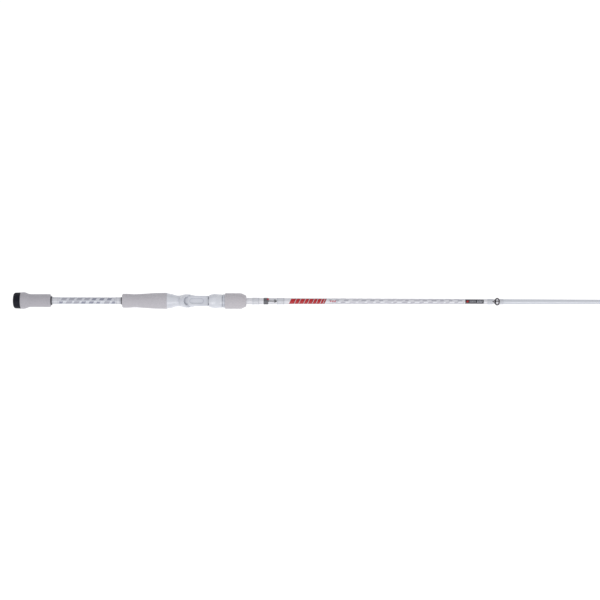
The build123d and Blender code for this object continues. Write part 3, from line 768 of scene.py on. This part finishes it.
low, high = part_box("rear_grip")
x0, x1 = low.x / mm, high.x / mm
core = blankRadius(x0)
bore = core + foamSettings["borePlay"]
rim = foamSettings["rearRim"]
waist = [(x0 + share * (x1 - x0), core + wall) for share, wall in foamSettings["rearGrip"]]
side = smoothThrough(waist, 1.4)
firstRadius, lastRadius = side[0][1], side[-1][1]
side = [point for point in side if point[0] > x0 + rim + 0.2]
outline = [(x0, bore), (x0, firstRadius - rim)]
for degrees in (15, 30, 45, 60, 75, 90):
    a = math.radians(degrees)
    outline.append((x0 + rim - rim * math.cos(a), firstRadius - rim + (rim - 0.03) * math.sin(a)))
outline += side[:-1] + [(x1 - 0.35, lastRadius), (x1, lastRadius - 0.3), (x1, bore)]
foamGrip("rearGripFoam", "rear_grip", "rod", outline, rearFoam, 7.7)

low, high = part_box("fore_grip")
x0, x1, outer = low.x / mm, high.x / mm, high.z / mm
part = foamSettings["foreGrip"]
edge, sleeve, cavity = part["edge"], part["sleeve"], part["cavity"]
sleeveEnd = x0 + part["sleeveLength"]
front = outer - part["frontDrop"]
frontBore = blankRadius(x1) + part["frontPlay"]
taperStart, noseStart = x1 - part["taper"], x1 - part["nose"]
noseTop = outer - part["noseDrop"]
shoulder = [(taperStart - 1.5, outer), (taperStart + 1.2, outer - 0.12), (taperStart + 3.8, outer - 0.85),
            (noseStart, noseTop)]
outline = [(x0, sleeve)] + roundCorner((x0 + edge, outer - edge), edge, 180, 90)
outline += smoothThrough(shoulder, 0.5)
noseHeights = (noseTop, noseTop - 0.83, front + 1.9, front)
outline += bentLine((noseStart, noseStart + 2.3, x1, x1), noseHeights, 10, 1)
outline += [(x1, frontBore), (x1 - part["wall"], frontBore), (x1 - part["wall"], cavity)]
outline += [(sleeveEnd, cavity), (sleeveEnd, sleeve)]
foamGrip("foreGripFoam", "fore_grip", "nut", outline, foreFoam, 5.3)
print("foam grips done")

# reel seat, sliding hood and nut: pearly moulded plastic, with painted shade darkening its hollows
seatSettings = {
    "seatShades": shades("dcdee5", "c3c6d1"),
    "hoodShades": shades("dee0e7", "c6c9d4"),
    "nutShades": shades("cfd2da", "b7bac6"),
    "roughness": (0.26, 0.36),
    "coat": 0.45,
    "coatRoughness": 0.14,
    "depth": 0.04,  # light that goes into the plastic
    "depthReach": (0.002, 0.002, 0.0024),
    # painted shade: the colour the hollows are darkened towards, how far the occlusion looks and how strongly
    # it darkens
    "hollow": shades("8f94a6"),
    "hollowReach": 0.005,
    "hollowShade": 0.75,
}


def seatFinish(name, light, shade):
    finish, nodes, links, shader = newFinish(name, light, seatSettings["roughness"][0])
    position = pointOn(nodes)
    pearl = noiseAt(nodes, links, position, 7500.0, 1.0)
    broad = noiseAt(nodes, links, position, 60.0, 3.0)
    skin = noiseAt(nodes, links, position, 1300.0, 3.0)
    colour = mixed(nodes, links, spread(nodes, links, broad, 0.3, 0.7, 0, 0.5), light, shade)
    # painted shade: where ambient occlusion finds nearby surfaces, in recesses and corners, the colour is
    # darkened towards the hollow shade colour
    hollow = nodes.new("ShaderNodeAmbientOcclusion")
    hollow.samples = 8
    hollow.inputs["Distance"].default_value = seatSettings["hollowReach"]
    depth = spread(nodes, links, hollow.outputs["AO"], 0.45, 1.0, 1.0, 0.0)
    amount = sums(nodes, links, "MULTIPLY", depth, seatSettings["hollowShade"])
    colour = mixed(nodes, links, amount, colour, seatSettings["hollow"])
    glint = spread(nodes, links, pearl, 0.38, 0.62, 0.96, 1.03)
    links.new(mixed(nodes, links, 1.0, colour, glint, "MULTIPLY"), shader.inputs["Base Color"])
    links.new(spread(nodes, links, skin, 0.3, 0.7, *seatSettings["roughness"]), shader.inputs["Roughness"])
    shader.inputs["Coat Weight"].default_value = seatSettings["coat"]
    shader.inputs["Coat Roughness"].default_value = seatSettings["coatRoughness"]
    shader.inputs["Subsurface Weight"].default_value = seatSettings["depth"]
    shader.inputs["Subsurface Radius"].default_value = seatSettings["depthReach"]
    bumped(nodes, links, shader, skin, 0.00004, 0.5)
    return finish


dress(["reel_seat_body"], seatFinish("seatPearl", *seatSettings["seatShades"]))
dress(["sliding_hood"], seatFinish("hoodPearl", *seatSettings["hoodShades"]))
dress(["lock_nut"], seatFinish("nutPearl", *seatSettings["nutShades"]))

# the bushes inside the seat, and the ring that makes the hood follow the nut
innerSettings = {
    "arborShades": shades("8c7049", "b79a6c", "d3bd92"),
    "arborDepth": 0.0003,
    "clipShades": shades("c9cbd0", "8f9198"),
    "clipLineWidth": 0.06,
    "clipRoughness": (0.16, 0.30),
}


def arborFinish():
    darkest, middle, lightest = innerSettings["arborShades"]
    finish, nodes, links, shader = newFinish("arborFibre", middle, 0.9)
    fibre = noiseAt(nodes, links, pointOn(nodes), 1800.0, 5.0, 0.7)
    stops = [(0.3, darkest), (0.55, middle), (0.75, lightest)]
    links.new(ramp(nodes, links, fibre, stops), shader.inputs["Base Color"])
    bumped(nodes, links, shader, fibre, innerSettings["arborDepth"], 0.8)
    return finish


dress(["seat_arbors"], arborFinish())
clipSteel = ringFinish("clipSteel", *innerSettings["clipShades"], innerSettings["clipLineWidth"],
                       innerSettings["clipRoughness"])
dress(["hood_clip_ring"], clipSteel)
print("reel seat dressed")

# hook keeper, guides and tip top
metalSettings = {
    "guideShades": shades("857d84", "544f55"),
    "guideRoughness": (0.18, 0.32),
    "keeperShades": shades("47454b", "222126"),
    "keeperRoughness": (0.22, 0.36),
    "grainDepth": 0.00005,
}
ceramicSettings = {
    "base": shades("131317"),
    "stops": [(0.3, shades("0c0c10")), (0.6, shades("17171c")), (0.8, shades("232329"))],
    "roughness": (0.05, 0.14),
    "shine": 0.35,
    "grainDepth": 0.00002,
}


def metalFinish(name, light, dark, roughness):
    finish, nodes, links, shader = newFinish(name, light, roughness[0], 1.0)
    position = pointOn(nodes)
    grain = noiseAt(nodes, links, position, 2600.0, 3.0)
    broad = spread(nodes, links, noiseAt(nodes, links, position, 260.0, 3.0), 0.3, 0.7, 0, 1)
    links.new(mixed(nodes, links, broad, dark, light), shader.inputs["Base Color"])
    links.new(spread(nodes, links, grain, 0.3, 0.7, *roughness), shader.inputs["Roughness"])
    bumped(nodes, links, shader, grain, metalSettings["grainDepth"], 0.5)
    return finish


def ceramicFinish():
    finish, nodes, links, shader = newFinish("ceramicRing", ceramicSettings["base"], 0.08)
    grain = noiseAt(nodes, links, pointOn(nodes), 900.0, 3.0)
    links.new(ramp(nodes, links, grain, ceramicSettings["stops"]), shader.inputs["Base Color"])
    rough = spread(nodes, links, grain, 0.3, 0.7, *ceramicSettings["roughness"])
    links.new(rough, shader.inputs["Roughness"])
    shader.inputs["Specular IOR Level"].default_value = ceramicSettings["shine"]
    bumped(nodes, links, shader, grain, ceramicSettings["grainDepth"], 0.3)
    return finish


keeperMetal = metalFinish("keeperMetal", *metalSettings["keeperShades"], metalSettings["keeperRoughness"])
dress(["hook_keeper"], keeperMetal)
guideFrames = [f"guide_{i}_frame" for i in range(1, 10)] + ["tip_top_frame"]
guideMetal = metalFinish("guideMetal", *metalSettings["guideShades"], metalSettings["guideRoughness"])
dress(guideFrames, guideMetal)
guideRings = [f"guide_{i}_ring" for i in range(1, 10)] + ["tip_top_ring"]
dress(guideRings, ceramicFinish())
print("guides dressed")

# printed marks, plain bars and blocks: (start, width) along the rod and heights round it, in mm
markSettings = {
    "bars": [(441.6, 7.4), (450.4, 5.6), (457.4, 6.4), (465.2, 5.0), (471.6, 6.0), (479.0, 4.6),
             (485.0, 5.0), (491.4, 3.2), (496.0, 1.8)],
    "barHalfHeight": 4.6,
    "barLean": 4.2,
    "shadowShift": 0.1,
    "shadowGrowth": 0.6,
    "shadowDrop": 0.3,
    "dashes": [(507.0, 2.2), (510.2, 2.8), (514.0, 2.4)],
    "dashHeights": (-1.1, 1.2),
    "dashLean": 1.0,
    "label": (724.3, 753.8, 3.6),  # start, end, half of its height
    "square": {"from": 1.9, "to": 4.9, "heights": (-1.3, 1.5), "lean": 0.4},  # from the label's start
    "rules": {"from": 6.7, "to": 17.0, "levels": (-1.3, -0.1, 1.1), "thickness": 0.55},
    "slashes": {"from": 18.6, "to": 20.0, "pitch": 2.3, "count": 4, "heights": (-1.9, 2.0), "lean": 0.9},
    "keeperTag": (406.7, 409.6),
    "tagHeights": (1.9, 4.6),
    "shadowLift": 0.02,
    "barLift": 0.034,
    "baseLift": 0.03,
    "topLift": 0.045,
    "tagLift": 0.36,  # on top of the thread
    "inkRoughness": 0.3,
    "red": shades("c00a1c", "a80818"),
    "darkRed": shades("6b1c26", "521019"),
    "faintRed": shades("c9606b", "b9505d"),
    "black": shades("2a2b31", "1c1d22"),
    "paleGrey": shades("aeafb9", "9a9ba6"),
}


def inkFinish(name, light, dark):
    roughness = markSettings["inkRoughness"]
    finish, nodes, links, shader = newFinish(name, light, roughness)
    grain = noiseAt(nodes, links, pointOn(nodes), 3000.0, 2.0)
    speckle = spread(nodes, links, grain, 0.35, 0.65, 0, 1)
    rough = spread(nodes, links, grain, 0.3, 0.7, roughness - 0.06, roughness + 0.06)
    links.new(mixed(nodes, links, speckle, dark, light), shader.inputs["Base Color"])
    links.new(rough, shader.inputs["Roughness"])
    shader.inputs["Coat Weight"].default_value = 0.35
    shader.inputs["Coat Roughness"].default_value = 0.08
    shader.inputs["Specular IOR Level"].default_value = 0.3
    bumped(nodes, links, shader, grain, 0.00002, 0.4)
    return finish


redInk = inkFinish("redInk", *markSettings["red"])
blackInk = inkFinish("blackInk", *markSettings["black"])
paleInk = inkFinish("paleInk", *markSettings["paleGrey"])
darkRedInk = inkFinish("darkRedInk", *markSettings["darkRed"])
faintRedInk = inkFinish("faintRedInk", *markSettings["faintRed"])

reach, lean = markSettings["barHalfHeight"], markSettings["barLean"]
shift, growth, shadowDrop = (markSettings[key] for key in ("shadowShift", "shadowGrowth", "shadowDrop"))
bars, barShadows = [], []
for x, width in markSettings["bars"]:
    bars.append(slanted(x, x + width, -reach, reach, lean))
    barShadows.append(slanted(x + shift, x + width + growth, -reach - shadowDrop, reach - shift, lean))
printedPiece("speedBarShadows", barShadows, darkRedInk, markSettings["shadowLift"])
printedPiece("speedBars", bars, redInk, markSettings["barLift"])
dashes = [slanted(x, x + width, *markSettings["dashHeights"], markSettings["dashLean"])
          for x, width in markSettings["dashes"]]
printedPiece("speedDashes", dashes, faintRedInk, markSettings["baseLift"])

start, end, halfHeight = markSettings["label"]
square, rules, slashes = markSettings["square"], markSettings["rules"], markSettings["slashes"]
patchMark = slanted(start, end, -halfHeight, halfHeight, 0.0)
printedPiece("darkPatch", [patchMark], blackInk, markSettings["baseLift"])
squareMark = slanted(start + square["from"], start + square["to"], *square["heights"], square["lean"])
printedPiece("redSquare", [squareMark], redInk, markSettings["topLift"])
stripes = [slanted(start + rules["from"], start + rules["to"], level, level + rules["thickness"], 0.0)
           for level in rules["levels"]]
for i in range(slashes["count"]):
    slashStart = start + slashes["from"] + slashes["pitch"] * i
    slashEnd = start + slashes["to"] + slashes["pitch"] * i
    stripes.append(slanted(slashStart, slashEnd, *slashes["heights"], slashes["lean"]))
printedPiece("patchStripes", stripes, paleInk, markSettings["topLift"])

tagMark = slanted(*markSettings["keeperTag"], *markSettings["tagHeights"], 0.0)
printedPiece("keeperTag", [tagMark], redInk, markSettings["tagLift"])
print("marks printed")
